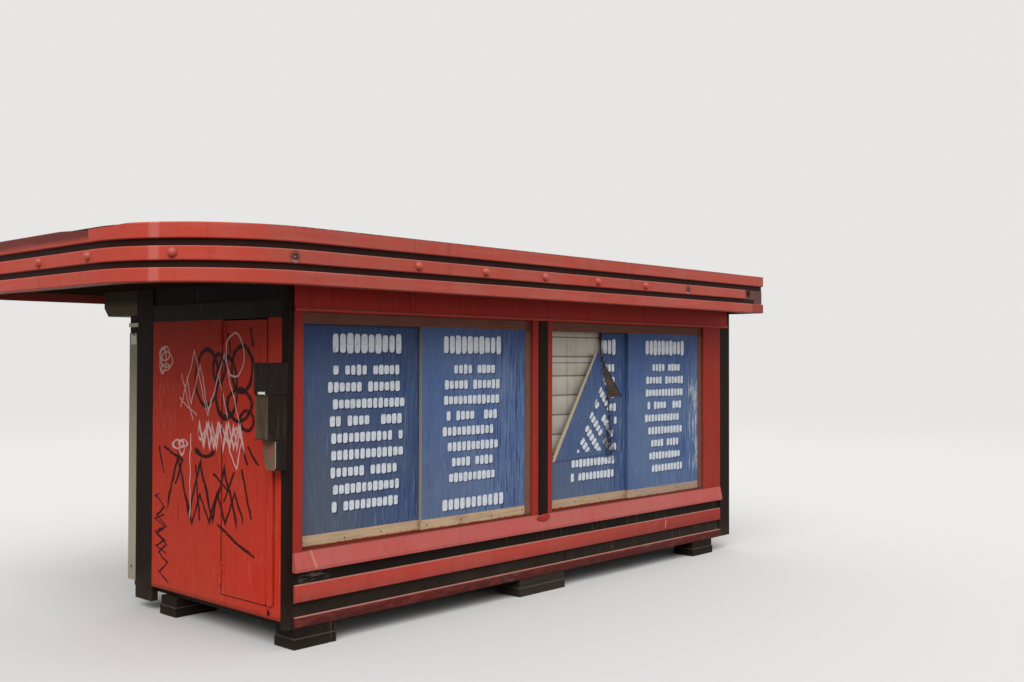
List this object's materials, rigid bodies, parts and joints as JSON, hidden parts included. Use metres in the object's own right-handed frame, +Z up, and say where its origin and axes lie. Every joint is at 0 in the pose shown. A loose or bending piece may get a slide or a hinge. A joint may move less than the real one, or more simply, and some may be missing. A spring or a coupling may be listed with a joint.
{
  "type": "street kiosk",
  "caption": "Closed steel street kiosk on low feet, with boarded street side, roller shutters, a narrow end door and a flat banded canopy with rounded corners.",
  "frame": {"origin": "on the pavement under the middle of the whole kiosk, canopy included", "axes": "+X along the cabin away from the end with the door, -Y faces the street, +Z up"},
  "size_m": [5.724, 2.988, 2.402],
  "materials": {
    "red_paint": "faded red enamel, chalky and dirty",
    "black_steel": "black enamel, worn",
    "blue_boards": "blue paint with streaks",
    "timber_tracks": "weathered timber",
    "shutter_slats": "dull galvanised steel",
    "pale_guides": "pale green paint",
    "shutter_casing": "grey-green paint",
    "roof_sheet": "weathered grey roofing sheet",
    "ceiling_sheet": "dark paint, sooty",
    "floor_steel": "worn floor plate",
    "bare_plate": "mauve-grey undercoat"
  },
  "bodies": {
    "cabin": {"feet": "black_steel", "base_rails": "black_steel", "base_cross_members": "black_steel", "floor_plate": "floor_steel", "corner_posts": "black_steel", "front_lower_wall": "black_steel", "front_bands": "red_paint", "front_sill": "red_paint", "front_jambs": "red_paint", "front_mullion": "black_steel", "front_head_beam": "black_steel", "front_header": "red_paint", "board_1": "blue_boards", "board_2": "blue_boards", "board_3": "blue_boards", "board_4": "blue_boards", "board_piece": "blue_boards", "board_tracks": "timber_tracks", "front_shutters": "shutter_slats", "end_wall_front": "red_paint", "end_wall_rear": "red_paint", "door_sill_panel": "red_paint", "door_hinge_seats": "red_paint", "lock_bar": "red_paint", "lock_box": "black_steel", "end_head_beams": "black_steel", "end_wall_far": "red_paint", "rear_sill": "black_steel", "rear_mullion": "black_steel", "rear_header": "red_paint", "rear_guides": "pale_guides", "rear_shutters": "shutter_slats", "shutter_box": "shutter_casing", "soffit": "ceiling_sheet", "canopy_rim": "red_paint", "roof_joists": "black_steel", "roof_deck": "roof_sheet", "canopy_end_plate": "bare_plate", "fascia_backing": "black_steel", "fascia_band_bottom": "red_paint", "fascia_band_middle": "red_paint", "fascia_band_top": "red_paint", "fascia_caps": "red_paint"},
    "door": {"door_leaf": "red_paint"}
  },
  "joints": [
    {"name": "door_hinge", "type": "hinge", "parent": "cabin", "child": "door", "pos_m": [-1.921, -0.456, 1], "axis": [0, 0, -1], "range_deg": [0, 105]}
  ]
}
